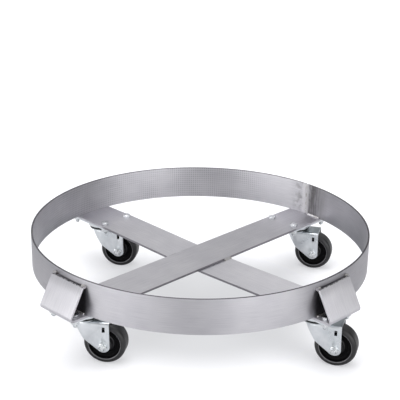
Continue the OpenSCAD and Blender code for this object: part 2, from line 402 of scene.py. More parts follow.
# the strip is brushed round the ring, with a faint lattice of roller marks inside
# and a ground, heat-tinted seam
def ringSteel():
    material, tree, place = newMaterial("brushed stainless strip")
    split = addNode(tree, "ShaderNodeSeparateXYZ", {"Vector": place})
    along = addNode(tree, "ShaderNodeAttribute", attribute_name="along").outputs["Fac"]
    flat = addNode(tree, "ShaderNodeCombineXYZ", {"X": along, "Y": 0.0, "Z": split.outputs["Z"]}).outputs[0]
    lines, colour, rough = steelNodes(tree, flat, steelLook, "x", "z")
    # inside of the strip only
    radial = addNode(tree, "ShaderNodeCombineXYZ",
                     {"X": split.outputs["X"], "Y": split.outputs["Y"]}).outputs[0]
    radius = addNode(tree, "ShaderNodeVectorMath", {0: radial}, operation="LENGTH").outputs["Value"]
    inside = maths(tree, "LESS_THAN", radius, ringOut - strip["thickness"] / 2)
    # lattice of small dull dots
    cell = addNode(tree, "ShaderNodeMapping", {"Vector": flat, "Scale": [1 / ringLook["dotPitch"]] * 3})
    cellFlat = addNode(tree, "ShaderNodeSeparateXYZ", {"Vector": cell.outputs[0]})
    cellPair = addNode(tree, "ShaderNodeCombineXYZ",
                       {"X": cellFlat.outputs["X"], "Y": cellFlat.outputs["Z"]})
    dots = addNode(tree, "ShaderNodeTexVoronoi",
                   {"Vector": cellPair.outputs[0], "Scale": 1.0, "Randomness": 0.0},
                   voronoi_dimensions="2D").outputs["Distance"]
    dot = remap(tree, dots, 0.16, 0.42, 1.0, 0.0)
    quarter = ringOut * math.pi / 2
    spanIn = remap(tree, along, 0.14 * quarter, 0.30 * quarter, 0.0, 1.0)
    spanOut = remap(tree, along, 1.20 * quarter, 1.45 * quarter, 1.0, 0.0)
    patchy = remap(tree, stretchedNoise(tree, flat, [60 * mm] * 3, 1.0), 0.35, 0.6, 0.25, 1.0)
    lattice = maths(tree, "MULTIPLY", maths(tree, "MULTIPLY", dot, patchy),
                    maths(tree, "MULTIPLY", spanIn, spanOut))
    lattice = maths(tree, "MULTIPLY", lattice, inside)
    colour = stain(tree, colour, lattice, ringLook["dotColour"], 0.55)
    # painted shade: the ring's outside behind each turned-up end is drawn darker
    nearAxis = maths(tree, "MINIMUM", maths(tree, "ABSOLUTE", split.outputs["X"]),
                     maths(tree, "ABSOLUTE", split.outputs["Y"]))
    paintedPocketShade = allOf(tree, under(tree, nearAxis, 38 * mm, 6 * mm), maths(tree, "SUBTRACT", 1.0, inside),
                   under(tree, split.outputs["Z"], deckZ + 54 * mm, 1.6 * mm))
    colour = stain(tree, colour, paintedPocketShade, paintedShadeAndEdgeLook["paintedPocketShade"], paintedShadeAndEdgeLook["paintedPocketShadeDepth"])
    colour = stain(tree, colour, over(tree, split.outputs["Z"], ringHigh.z - 0.5 * mm, 0.4 * mm),
                   paintedShadeAndEdgeLook["stripEdge"])
    # heat tint beside the seam: the seam lies at along = 0, and beside its far end the strip is darker
    full = 2 * math.pi * (ringOut - strip["thickness"] / 2)
    before = maths(tree, "SUBTRACT", full, along)
    smear = stretchedNoise(tree, flat, [5 * mm, 1, 60 * mm], 2.0)
    dark = allOf(tree, remap(tree, before, 10 * mm, 62 * mm, 1.0, 0.0),
                 remap(tree, smear, 0.25, 0.6, 0.3, 1.0), inside)
    colour = stain(tree, colour, dark, ringLook["tintDark"], 0.92)
    streak = stretchedNoise(tree, flat, [60 * mm, 1, 2.2 * mm], 2.0)
    ground = allOf(tree, remap(tree, along, 5 * mm, 75 * mm, 1.0, 0.0),
                   remap(tree, streak, 0.42, 0.62, 0.0, 1.0), inside)
    colour = stain(tree, colour, ground, ringLook["polished"], 0.5)
    toSeam = maths(tree, "MINIMUM", along, before)
    blotch = remap(tree, stretchedNoise(tree, flat, [11 * mm] * 3, 3.0), 0.48, 0.62, 0.0, 1.0)
    colour = stain(tree, colour, allOf(tree, under(tree, toSeam, 24 * mm, 30 * mm), blotch, inside, 0.45),
                   ringLook["tintDark"])
    beside = allOf(tree, under(tree, toSeam, 8 * mm, 5 * mm), inside)
    colour = stain(tree, colour, beside, ringLook["polished"], 0.8)
    steelShader(tree, colour, maths(tree, "ADD", rough, maths(tree, "MULTIPLY", dark, 0.12)), lines)
    return material


# TIG weld metal left as welded: silvery crests, straw to grey heat colours in the hollows
def weldMetal():
    look = {"crest": "#DAD9DC", "straw": "#B9B5B0", "scale": "#86858B"}
    material, tree, place = newMaterial("as-welded stainless")
    patch = stretchedNoise(tree, place, [6 * mm] * 3, 3.0)
    fine = stretchedNoise(tree, place, [0.8 * mm] * 3, 3.0)
    colour = stain(tree, paint(look["straw"]), remap(tree, patch, 0.35, 0.6, 0.0, 1.0), look["crest"])
    colour = stain(tree, colour, remap(tree, fine, 0.5, 0.75, 0.0, 0.7), look["scale"])
    closeMaterial(tree, {"Base Color": colour, "Metallic": 1.0,
                         "Roughness": remap(tree, patch, 0.3, 0.7, 0.42, 0.24)},
                         relief=(fine, 0.25, 0.15 * mm))
    return material


# bright zinc plate on pressed steel: bluish, a little cloudy, with the faint waviness of plated sheet
def zincPlate(name, look):
    material, tree, place = newMaterial(name)
    cloud = stretchedNoise(tree, place, [look["cloud"]] * 3, 3.0)
    speck = stretchedNoise(tree, place, [1.1 * mm] * 3, 2.0)
    colour = stain(tree, paint(look["cool"]), remap(tree, cloud, 0.35, 0.65, 0.0, 1.0), look["light"])
    colour = stain(tree, colour, remap(tree, speck, 0.66, 0.82, 0.0, 0.6), look["dull"])
    rough = remap(tree, cloud, 0.3, 0.7, look["roughness"][0], look["roughness"][1])
    if "paintedSkirtShadow" in look:    # painted shade on the fork's roof, and painted shadow near black on the crown's wall under the race's skirt
        height = addNode(tree, "ShaderNodeSeparateXYZ", {"Vector": place}).outputs["Z"]
        paintedRoofShade = allOf(tree, over(tree, height, look["roof"] - 0.7 * mm, 0.6 * mm),
                     under(tree, height, look["roof"] + 5.6 * mm, 0.2 * mm))
        paintedSkirtShadow = maths(tree, "MULTIPLY", paintedRoofShade, over(tree, height, look["roof"] + 0.7 * mm, 0.5 * mm))
        colour = stain(tree, colour, paintedRoofShade, look["paintedRoofShade"], 0.6)
        colour = stain(tree, colour, paintedSkirtShadow, look["paintedSkirtShadow"], 0.95)
        rough = maths(tree, "ADD", rough, maths(tree, "MULTIPLY", paintedRoofShade, 0.15))
    closeMaterial(tree, {"Base Color": colour, "Metallic": 1.0, "Roughness": rough},
                  relief=(cloud, look["wave"], 0.4 * mm))
    return material


# sintered bronze, dark with oil and full of fine pores
def sinteredBronze():
    look = {"metal": "#8A7A5E", "oil": "#4A4234"}
    material, tree, place = newMaterial("oiled sintered bronze")
    pores = stretchedNoise(tree, place, [0.5 * mm] * 3, 2.0)
    colour = stain(tree, paint(look["oil"]), remap(tree, pores, 0.4, 0.62, 0.0, 1.0), look["metal"])
    closeMaterial(tree, {"Base Color": colour, "Metallic": 0.9, "Roughness": 0.42},
                  relief=(pores, 0.3, 0.1 * mm))
    return material


# hardened bearing steel under a film of grease
def ballSteel():
    look = {"bright": "#8F8E8C", "greasy": "#3B342C"}
    material, tree, place = newMaterial("greased bearing steel")
    film = stretchedNoise(tree, place, [3 * mm] * 3, 2.0)
    colour = stain(tree, paint(look["bright"]), remap(tree, film, 0.4, 0.65, 0.0, 0.8), look["greasy"])
    closeMaterial(tree, {"Base Color": colour, "Metallic": 1.0,
                         "Roughness": remap(tree, film, 0.35, 0.7, 0.12, 0.35)})
    return material


wheels = {"tread": 15.5 * mm, "shoulder": 7 * mm, "rim": 9.5 * mm, "web": 8 * mm, "hubR": 13 * mm,
          "hub": 16.5 * mm,
          "bore": 8 * mm}


# half section of a wheel from the bore to the middle of the tread, on the +Z face
def wheelProfile():
    outer, w = axleZ, wheels["tread"]
    web, hub, hubR = wheels["web"], wheels["hub"], wheels["hubR"]
    half = [(wheels["bore"], 0), (wheels["bore"], hub - 0.5 * mm), (wheels["bore"] + 0.5 * mm, hub)]
    half += [(hubR - 1.2 * mm, hub), (hubR - 0.3 * mm, hub - 0.4 * mm), (hubR, hub - 1.2 * mm)]
    half += [(hubR + 0.6 * mm, web + 1.6 * mm), (hubR + 1.4 * mm, web + 0.4 * mm), (hubR + 2.6 * mm, web)]
    ring = outer * 0.5
    half += [(ring - 1.6 * mm, web), (ring - 1.0 * mm, web + 1.1 * mm), (ring - 0.3 * mm, web + 1.5 * mm),
             (ring + 0.9 * mm, web + 1.5 * mm), (ring + 1.6 * mm, web + 1.1 * mm), (ring + 2.2 * mm, web)]
    rim = outer - wheels["rim"]
    half += [(rim - 2.2 * mm, web), (rim - 0.9 * mm, web + 0.5 * mm), (rim - 0.2 * mm, web + 2 * mm),
             (rim + 0.3 * mm, w - 1.6 * mm), (rim + 0.9 * mm, w - 0.4 * mm), (rim + 1.8 * mm, w)]
    shoulder = wheels["shoulder"]
    for k in range(13):
        a = quarterTurn * k / 12
        half.append((outer - shoulder + shoulder * math.sin(a), w - shoulder + shoulder * math.cos(a)))
    return half


# how far round the wheel's section each point of its half lies, and the length of the whole section
def sectionRuns(points):
    runs = [0.0]
    for a, b in zip(points, points[1:]):
        runs.append(runs[-1] + (Vector(b) - Vector(a)).length)
    return runs, 2 * (runs[-1] + points[-1][1])


# hard black rubber moulded on the wheel: satin, with turning rings from the mould and a dusty tread
rubberLook = {"body": "#1E1E20", "scuffed": "#2E2D2F", "paintedRecessShade": "#070708", "paintedLipHighlight": "#7E7D80",
              "ringPitch": 0.9 * mm, "webPoint": 8, "lipPoint": 19}
wheelHalf = wheelProfile()


def hardRubber():
    material, tree, place = newMaterial("moulded hard rubber")
    uv = addNode(tree, "ShaderNodeUVMap", uv_map="surface").outputs[0]
    rings = stretchedNoise(tree, uv, [400 * mm, rubberLook["ringPitch"], 1], 2.0)
    scuff = stretchedNoise(tree, place, [9 * mm] * 3, 4.0, 0.65)
    colour = stain(tree, paint(rubberLook["body"]), remap(tree, scuff, 0.45, 0.8, 0.0, 0.6),
                   rubberLook["scuffed"])
    # painted shade: the web between hub and rim is drawn near black and dull; painted highlight: the rim's
    # lip is drawn light
    runs, whole = sectionRuns(wheelHalf)
    across = addNode(tree, "ShaderNodeSeparateXYZ", {"Vector": uv}).outputs["Y"]
    run = maths(tree, "MINIMUM", across, maths(tree, "SUBTRACT", whole, across))
    web = allOf(tree, over(tree, run, runs[rubberLook["webPoint"]], 1.5 * mm),
                under(tree, run, runs[rubberLook["lipPoint"] - 1], 2 * mm))
    paintedLipHighlight = allOf(tree, over(tree, run, runs[rubberLook["lipPoint"]] - 0.4 * mm, 0.5 * mm),
                under(tree, run, runs[rubberLook["lipPoint"]] + 0.9 * mm, 0.6 * mm))
    colour = stain(tree, colour, web, rubberLook["paintedRecessShade"], 0.9)
    colour = stain(tree, colour, paintedLipHighlight, rubberLook["paintedLipHighlight"], 0.8)
    rough = maths(tree, "ADD", remap(tree, scuff, 0.3, 0.75, 0.28, 0.46), maths(tree, "MULTIPLY", web, 0.2))
    rough = maths(tree, "SUBTRACT", rough, maths(tree, "MULTIPLY", paintedLipHighlight, 0.12))
    shine = maths(tree, "SUBTRACT", 0.5, maths(tree, "MULTIPLY", web, 0.42))
    height = maths(tree, "ADD", maths(tree, "MULTIPLY", rings, 0.6), maths(tree, "MULTIPLY", scuff, 0.4))
    closeMaterial(tree, {"Base Color": colour, "Roughness": rough, "Specular IOR Level": shine},
                  relief=(height, 0.35, 0.12 * mm))
    return material


materials = {
    "strip": ringSteel(),
    "barX": barSteel("brushed stainless bar, grain along X", "xz", "y"),
    "barY": barSteel("brushed stainless bar, grain along Y", "yz", "x"),
    "weld": weldMetal(),
    "zinc": zincPlate("bright zinc plated sheet", {
        "cool": "#D7DCE0", "light": "#EAEDF0", "dull": "#BEC4C9", "cloud": 26 * mm,
        "roughness": (0.26, 0.34),
        "wave": 0.06, "roof": 80 * mm, "paintedRoofShade": "#8D9699", "paintedSkirtShadow": "#232120"}),
    "fastener": zincPlate("bright zinc plated fastener", {
        "cool": "#D3D7DA", "light": "#EEF0F1", "dull": "#8E959A", "cloud": 4 * mm,
        "roughness": (0.22, 0.32),
        "wave": 0.08}),
    "ball": ballSteel(),
    "bush": sinteredBronze(),
    "rubber": hardRubber(),
}
print("materials made:", len(materials))


# starts a tree with named inputs; each is (socket type, value)
def newTree(name, inputs):
    tree = bpy.data.node_groups.new(name, "GeometryNodeTree")
    tree.interface.new_socket("Geometry", in_out="INPUT", socket_type="NodeSocketGeometry")
    for label, (kind, value) in inputs.items():
        socket = tree.interface.new_socket(label, in_out="INPUT", socket_type="NodeSocket" + kind)
        if value is not None:
            socket.default_value = value
    tree.interface.new_socket("Geometry", in_out="OUTPUT", socket_type="NodeSocketGeometry")
    return tree, addNode(tree, "NodeGroupInput").outputs


# the tree's last nodes: real faces, a material and smooth shading
def closeTree(tree, geometry, material):
    real = addNode(tree, "GeometryNodeRealizeInstances", {"Geometry": geometry})
    shaded = addNode(tree, "GeometryNodeSetShadeSmooth",
                     {"Geometry": real.outputs[0], "Shade Smooth": True})
    dressed = addNode(tree, "GeometryNodeSetMaterial",
                      {"Geometry": shaded.outputs[0], "Material": material})
    addNode(tree, "NodeGroupOutput", {"Geometry": dressed.outputs[0]})
    return tree


# runs a tree on a mesh with the given inputs and leaves a plain mesh
def grow(name, verts, edges, tree, values):
    mesh = bpy.data.meshes.new(name)
    mesh.from_pydata([tuple(v) for v in verts], edges, [])
    obj = link(bpy.data.objects.new(name, mesh))
    modifier = obj.modifiers.new("grow", "NODES")
    modifier.node_group = tree
    ids = {item.name: item.identifier for item in tree.interface.items_tree
           if item.item_type == "SOCKET" and item.in_out == "INPUT"}
    for label, value in values.items():
        modifier[ids[label]] = value
    return applyModifiers(obj)


# the rolled strip: a rounded flat section swept round an open circle
def stripTree():
    tree, given = newTree("rolled strip", {
        "Radius": ("Float", 0.3), "Height": ("Float", 0.06), "Thickness": ("Float", 0.003),
        "Bottom": ("Float", 0.1), "Gap": ("Float", 0.002), "Edge Radius": ("Float", 0.0005),
        "Segments": ("Int", 360), "Material": ("Material", None)})
    half = maths(tree, "DIVIDE", maths(tree, "DIVIDE", given["Gap"], given["Radius"]), 2.0)
    sweep = maths(tree, "SUBTRACT", 2 * math.pi, maths(tree, "MULTIPLY", half, 2.0))
    arc = addNode(tree, "GeometryNodeCurveArc", {"Resolution": given["Segments"], "Radius": given["Radius"],
                                                 "Start Angle": half, "Sweep Angle": sweep}, mode="RADIUS")
    length = addNode(tree, "GeometryNodeSplineParameter").outputs["Length"]
    kept = addNode(tree, "GeometryNodeCaptureAttribute", {"Geometry": arc.outputs["Curve"]})
    kept.capture_items.new("FLOAT", "Along")
    tree.links.new(length, kept.inputs["Along"])
    section = addNode(tree, "GeometryNodeCurvePrimitiveQuadrilateral", {"Width": given["Thickness"],
                                                                      "Height": given["Height"]})
    rounded = addNode(tree, "GeometryNodeFilletCurve", {"Curve": section.outputs[0], "Count": 4,
                                                        "Radius": given["Edge Radius"]}, mode="POLY")
    swept = addNode(tree, "GeometryNodeCurveToMesh", {"Curve": kept.outputs["Geometry"],
                                                      "Profile Curve": rounded.outputs[0],
                                                      "Fill Caps": True})
    middle = maths(tree, "ADD", given["Bottom"], maths(tree, "MULTIPLY", given["Height"], 0.5))
    raised = addNode(tree, "GeometryNodeSetPosition", {
        "Geometry": swept.outputs[0], "Offset": addNode(tree, "ShaderNodeCombineXYZ",
                                                        {"Z": middle}).outputs[0]})
    named = addNode(tree, "GeometryNodeStoreNamedAttribute", {
        "Geometry": raised.outputs[0], "Name": "along", "Value": kept.outputs["Along"]},
        data_type="FLOAT", domain="POINT")
    height = addNode(tree, "ShaderNodeSeparateXYZ", {
        "Vector": addNode(tree, "GeometryNodeInputPosition").outputs[0]}).outputs["Z"]
    pair = addNode(tree, "ShaderNodeCombineXYZ", {"X": kept.outputs["Along"], "Y": height})
    mapped = addNode(tree, "GeometryNodeStoreNamedAttribute", {
        "Geometry": named.outputs[0], "Name": "surface", "Value": pair.outputs[0]},
        data_type="FLOAT2", domain="CORNER")
    return closeTree(tree, mapped.outputs[0], given["Material"])


# a weld bead along edges: a tube whose radius swells at each ripple and closes at its ends
def beadTree():
    tree, given = newTree("weld bead", {
        "Radius": ("Float", 0.002), "Ripple": ("Float", 0.0016), "Roughness": ("Float", 0.0002),
        "Seed": ("Float", 0.0), "Material": ("Material", None)})
    line = addNode(tree, "GeometryNodeMeshToCurve", {"Mesh": given["Geometry"]})
    fine = addNode(tree, "GeometryNodeResampleCurve", {
        "Curve": line.outputs[0], "Length": maths(tree, "DIVIDE", given["Ripple"], 5.0)}, mode="LENGTH")
    spline = addNode(tree, "GeometryNodeSplineParameter")
    whole = addNode(tree, "GeometryNodeSplineLength").outputs["Length"]
    turns = maths(tree, "DIVIDE", spline.outputs["Length"], given["Ripple"])
    wave = maths(tree, "FRACT", turns)
    swell = addNode(tree, "ShaderNodeMapRange", {"Value": wave, "To Min": 0.84, "To Max": 1.0}).outputs[0]
    toEnd = maths(tree, "MINIMUM", spline.outputs["Length"],
                      maths(tree, "SUBTRACT", whole, spline.outputs["Length"]))
    close = maths(tree, "MINIMUM", maths(tree, "DIVIDE", toEnd, given["Radius"]), 1.0)
    dome = maths(tree, "SQRT", maths(tree, "SUBTRACT", 1.0, maths(
        tree, "POWER", maths(tree, "SUBTRACT", 1.0, close), 2.0)))
    size = maths(tree, "MULTIPLY", maths(tree, "MULTIPLY", swell, maths(tree, "MAXIMUM", dome, 0.12)),
                     given["Radius"])
    circle = addNode(tree, "GeometryNodeCurvePrimitiveCircle", {"Resolution": 14, "Radius": 1.0})
    tube = addNode(tree, "GeometryNodeCurveToMesh",
                   {"Curve": fine.outputs[0], "Profile Curve": circle.outputs[0],
                                                     "Scale": size, "Fill Caps": True})
    lumps = addNode(tree, "ShaderNodeTexNoise", {"W": given["Seed"], "Scale": 420.0, "Detail": 1.0},
                    noise_dimensions="4D")
    lift = maths(tree, "MULTIPLY", maths(tree, "SUBTRACT", lumps.outputs[0], 0.5), given["Roughness"])
    push = addNode(tree, "ShaderNodeVectorMath", {0: addNode(tree, "GeometryNodeInputNormal").outputs[0],
                                                  "Scale": lift}, operation="SCALE")
    uneven = addNode(tree, "GeometryNodeSetPosition",
                     {"Geometry": tube.outputs[0], "Offset": push.outputs[0]})
    return closeTree(tree, uneven.outputs[0], given["Material"])


# one part set at each point, each turned by its own chance amount about Z
def setOutTree():
    tree, given = newTree("parts set out", {
        "Part": ("Object", None), "Seed": ("Int", 1), "Spin": ("Float", 6.283),
        "Material": ("Material", None)})
    part = addNode(tree, "GeometryNodeObjectInfo", {"Object": given["Part"]})
    spin = addNode(tree, "FunctionNodeRandomValue", {3: given["Spin"], "Seed": given["Seed"]},
                   data_type="FLOAT")
    turn = addNode(tree, "ShaderNodeCombineXYZ", {"Z": spin.outputs[1]})
    copies = addNode(tree, "GeometryNodeInstanceOnPoints", {
        "Points": given["Geometry"], "Instance": part.outputs["Geometry"], "Rotation": turn.outputs[0]})
    return closeTree(tree, copies.outputs[0], given["Material"])


seamWide = 2.4 * mm
ringPiece = grow("ring_strip", [(0, 0, 0)], [], stripTree(), {
    "Radius": ringOut - strip["thickness"] / 2, "Height": ringHigh.z - ringLow.z,
    "Thickness": strip["thickness"],
    "Bottom": ringLow.z, "Gap": seamWide, "Edge Radius": strip["edge"], "Segments": strip["segments"],
    "Material": materials["strip"]})
tidyMesh(ringPiece)
give(ringPiece, "frame", "sheet_steel", "ring")
print("ring made")

bars = {"endR": 340.5 * mm, "endRise": 54 * mm, "tilt": 61, "bendIn": 3 * mm, "dipIn": 46 * mm,
        "dipOut": 222 * mm,
        "edge": 0.7 * mm, "bendSteps": 10, "joggle": 14 * mm}


# middle line of half a bar as (distance out, height, direction angle), from the centre to the turned-up edge
def barLine(drop):
    half = barThick / 2
    radius = bars["bendIn"] + half
    bendX = bars["endR"] - bars["bendIn"] - barThick
    bendZ = deckZ + bars["bendIn"]
    line = [(0.0, deckZ - half - drop, 0.0)]
    if drop:
        slope = math.atan2(drop, bars["dipOut"] - bars["dipIn"])
        for x, z, turn in ((bars["dipIn"], -drop, 0.0), (bars["dipOut"], 0.0, slope)):
            for k in range(-2, 3):
                angle = slope / 2 + (slope / 2) * (k / 2) * (1 if turn == 0 else -1)
                reach = k / 2 * bars["joggle"]
                rise = reach * math.tan(slope) if (reach > 0) == (turn == 0) else 0.0
                soften = drop * 0.02 * (4 - k * k) / 4 * (1 if turn == 0 else -1)
                line.append((x + reach, deckZ - half + z + rise + soften, angle))
    for k in range(1, 5):
        line.append((bars["dipOut"] + (bendX - bars["dipOut"]) * (0.15 + 0.2 * k), deckZ - half, 0.0))
    end = math.radians(180 - bars["tilt"])
    for k in range(bars["bendSteps"] + 1):
        angle = end * k / bars["bendSteps"]
        line.append((bendX + radius * math.sin(angle), bendZ - radius * math.cos(angle), angle))
    outer = bendZ - (bars["bendIn"] + barThick) * math.cos(end)
    length = (deckZ + bars["endRise"] - outer) / math.sin(end)
    x, z, angle = line[-1]
    for share in (0.33, 0.66, 1.0):
        line.append((x + length * share * math.cos(angle), z + length * share * math.sin(angle), angle))
    return line


# the four holes for a caster's bolts, round a point on the X axis
def drillForBolts(obj, x, z):
    reach = 20 * mm
    for dx in (-1, 1):
        for dy in (-1, 1):
            spot = (x + dx * boltPitch[0] / 2, dy * boltPitch[1] / 2, z)
            drill(obj, boltHole, -reach, reach, 32, Matrix.Translation(spot))


# the bar as a rounded section swept along its middle line
def barPiece(name, drop, material, matrix):
    edge = bars["edge"]
    half, thick = barWide / 2, barThick / 2
    section = roundedOutline([(-half, -thick, edge), (half, -thick, edge), (half, thick, edge),
                              (-half, thick, edge)], 3)
    out = barLine(drop)
    line = [(-x, z, -angle) for x, z, angle in out[:0:-1]] + out
    rows = []
    for k, (x, z, angle) in enumerate(line):
        sets = [(0.0, 0.0)]
        if k in (0, len(line) - 1):
            sets = [(0.0, edge), (0.35 * edge, 0.3 * edge), (edge, 0.0)]
            if k:
                sets = sets[::-1]
        for back, inset in sets:
            way = 1 if k == 0 else -1
            centre = Vector((x + way * back * math.cos(angle), 0, z + way * back * math.sin(angle)))
            normal = Vector((-math.sin(angle), 0, math.cos(angle)))
            rows.append([centre + Vector((0, 1,
                                          0)) * p.x * (1 - inset / half) + normal * p.y * (1 - inset / thick)
                         for p in section])
    obj = skinRows(name, rows, material)
    for side in (-1, 1):
        drillForBolts(obj, side * casterR, deckZ)
    obj.data.transform(matrix)
    smooth(obj)
    return obj


upperBar = barPiece("bar_upper", 0.0, materials["barX"], Matrix.Identity(4))
give(upperBar, "frame", "bar_steel", "upper_bar")
lowerBar = barPiece("bar_lower", barThick, materials["barY"], Matrix.Rotation(math.radians(90), 4, "Z"))
give(lowerBar, "frame", "bar_steel", "lower_bar")
print("bars made")


welds = {"seam": 2.6 * mm, "fillet": 2.3 * mm, "ripple": 1.7 * mm, "lumps": 0.35}
beads = beadTree()


def arcPath(radius, start, end, z, count=24):
    angles = [math.radians(start + (end - start) * k / count) for k in range(count + 1)]
    return [Vector((radius * math.cos(a), radius * math.sin(a), z)) for a in angles]


# one bead object along several paths
def weld(name, paths, radius, seed, node):
    verts, edges = [], []
    for path in paths:
        edges += [(len(verts) + k, len(verts) + k + 1) for k in range(len(path) - 1)]
        verts += path
    obj = grow(name, verts, edges, beads, {
        "Radius": radius, "Ripple": welds["ripple"], "Roughness": radius * welds["lumps"],
        "Seed": float(seed),
        "Material": materials["weld"]})
    give(obj, "frame", "weld", node)


ringIn = ringOut - strip["thickness"]
seamX = [ringIn + 1.35 * mm, ringOut - 1.6 * mm]
weld("seam_bead", [[Vector((x, 0, ringLow.z + 1.2 * mm)),
                    Vector((x, 0, ringHigh.z - 1.2 * mm))] for x in seamX],
     welds["seam"], 3, "ring_seam_weld")
halfDeg = math.degrees(math.asin((barWide / 2 - 5 * mm) / ringOut))
filletZ = deckZ + 1.3 * mm
paths = [arcPath(ringOut + 1.3 * mm, a - halfDeg, a + halfDeg, filletZ) for a in (0, 90, 180, 270)]
paths.append(arcPath(ringIn - 1.3 * mm, -math.degrees(math.asin((barWide / 2 - 1 * mm) / ringIn)), -1.2,
                     filletZ))
weld("fillet_beads", paths, welds["fillet"], 5, "ring_welds")
print("welds made")


# turned, chamfered hexagon between two heights; the chamfer is on the top, and underneath too if both
def hexRows(af, low, high, bore, both, steps=72):
    inner = af / 2 * 0.94
    drop = math.tan(math.radians(30))
    rows = []
    for k in range(steps):
        angle = 2 * math.pi * k / steps
        part = (angle + math.pi / 6) % (math.pi / 3) - math.pi / 6
        outer = af / 2 / math.cos(part) - 0.15 * mm * abs(part) / (math.pi / 6)
        fall = (outer - inner) * drop
        column = [(bore, low), (inner, low)] if both else [(bore, low), (outer, low)]
        if both:
            column.append((outer, low + fall))
        column += [(outer, high - fall), (inner, high), (bore, high)]
        rows.append([Vector((r * math.cos(angle), r * math.sin(angle), z)) for r, z in column])
    return rows


# outline of a thread's crests and roots between two heights, as (radius, height)
def threadProfile(radius, low, high, pitch=1.25 * mm):
    depth = 0.55 * pitch
    profile = []
    z = low
    while z + pitch <= high:
        profile += [(radius - depth, z), (radius, z + 0.42 * pitch), (radius, z + 0.58 * pitch)]
        z += pitch
    return profile + [(radius - depth, z), (radius - depth, high)]


# caster bolts are M8; the axle bolts are thicker, with lock nuts
bolts = {"af": 13 * mm, "head": 5 * mm, "shank": 8 * mm, "long": 20 * mm, "thread": 14 * mm,
         "nut": 6.5 * mm}
axleBolts = {"af": 14.3 * mm, "head": 6.2 * mm, "shank": 9.5 * mm, "long": 53.3 * mm, "thread": 15 * mm,
             "nut": 10.5 * mm, "collar": 3 * mm, "collarWide": 13 * mm}
washerFace = 0.4 * mm


# a hex bolt, its head below z = 0 and its shank above; the thread shows on its last part
def boltMaster(name, look):
    r, long, seat = look["shank"] / 2, look["long"], look["af"] * 0.47
    rows = hexRows(look["af"], 0, look["head"] - washerFace, 0, False)
    head = skinRows(name, rows, materials["fastener"], spin=True)
    head.data.transform(Matrix.Rotation(math.pi, 4, "X") @ Matrix.Translation((0, 0, washerFace)))
    profile = [(0, -0.5 * mm), (seat, -0.5 * mm), (seat, 0), (r, 0), (r, long - look["thread"])]
    profile += threadProfile(r, long - look["thread"], long - 0.8 * mm)
    profile += [(r - 0.9 * mm, long - 0.4 * mm), (r - 1.4 * mm, long), (0, long)]
    shank = lathe(name + "_shank", profile, materials["fastener"], 32, 30)
    return cutWith(head, shank, "UNION")


# a hex nut standing on z = 0; a lock nut's upper part is a round, domed collar
def nutMaster(name, look):
    r = look["shank"] / 2 + 0.05 * mm
    collar = look.get("collar", 0)
    nut = tidyMesh(skinRows(name, hexRows(look["af"], 0, look["nut"] - collar, r, not collar),
                            materials["fastener"],
                            spin=True), 30)
    if collar:
        edge, high, low = look["collarWide"] / 2, look["nut"], look["nut"] - collar - 0.5 * mm
        dome = [(edge - 1.4 * mm * (1 - math.cos(a)), high - 1.4 * mm + 1.4 * mm * math.sin(a))
                for a in [math.radians(18 * k) for k in range(6)]]
        profile = [(r, low), (edge, low)] + dome + [(r + 0.6 * mm, high), (r, high - 0.6 * mm)]
        cutWith(nut, lathe(name + "_collar", profile, materials["fastener"], 72, 30), "UNION")
    return nut


setOut = setOutTree()
boltShape = boltMaster("bolt_shape", bolts)
boltShape.data.transform(Matrix.Rotation(math.pi, 4, "X"))
nutShape = nutMaster("nut_shape", bolts)
places = [plateMatrix(side) @ Vector((x * boltPitch[0] / 2, y * boltPitch[1] / 2, 0))
          for side in sides for x in (-1, 1) for y in (-1, 1)]
boltPiece = grow("caster_bolt_set", [p + Vector((0, 0, deckZ)) for p in places], [], setOut,
                 {"Part": boltShape, "Seed": 11, "Material": materials["fastener"]})
nutPiece = grow("caster_nut_set", [p + Vector((0, 0, plateUnder - bolts["nut"])) for p in places], [],
                setOut,
                {"Part": nutShape, "Seed": 4, "Material": materials["fastener"]})
for piece, node in ((boltPiece, "caster_bolts"), (nutPiece, "caster_nuts")):
    smooth(piece, 30)
    give(piece, "frame", "zinc_fastener", node)
print("caster bolts and nuts:", len(places))

plates = {"long": 105 * mm, "wide": 78 * mm, "corner": 8 * mm, "raceR": 26.6 * mm,
          "skirt": 2 * mm, "skirtLow": 85 * mm, "cove": 3 * mm, "pinHead": 10.5 * mm}

races = {"pitch": 17 * mm, "track": 3.3 * mm, "drop": 9.5 * mm,
            # centre line of the balls under the plate
         "plateBore": 6.05 * mm, "forkBore": 6.4 * mm}


# the round track that the upper balls run in, as points of a section between two angles in degrees
def ballTrack(first, sweep):
    level = plateUnder - races["drop"]
    return [(races["pitch"] + races["track"] * math.cos(a), level + races["track"] * math.sin(a))
            for a in [math.radians(first + sweep * k / 10) for k in range(11)]]


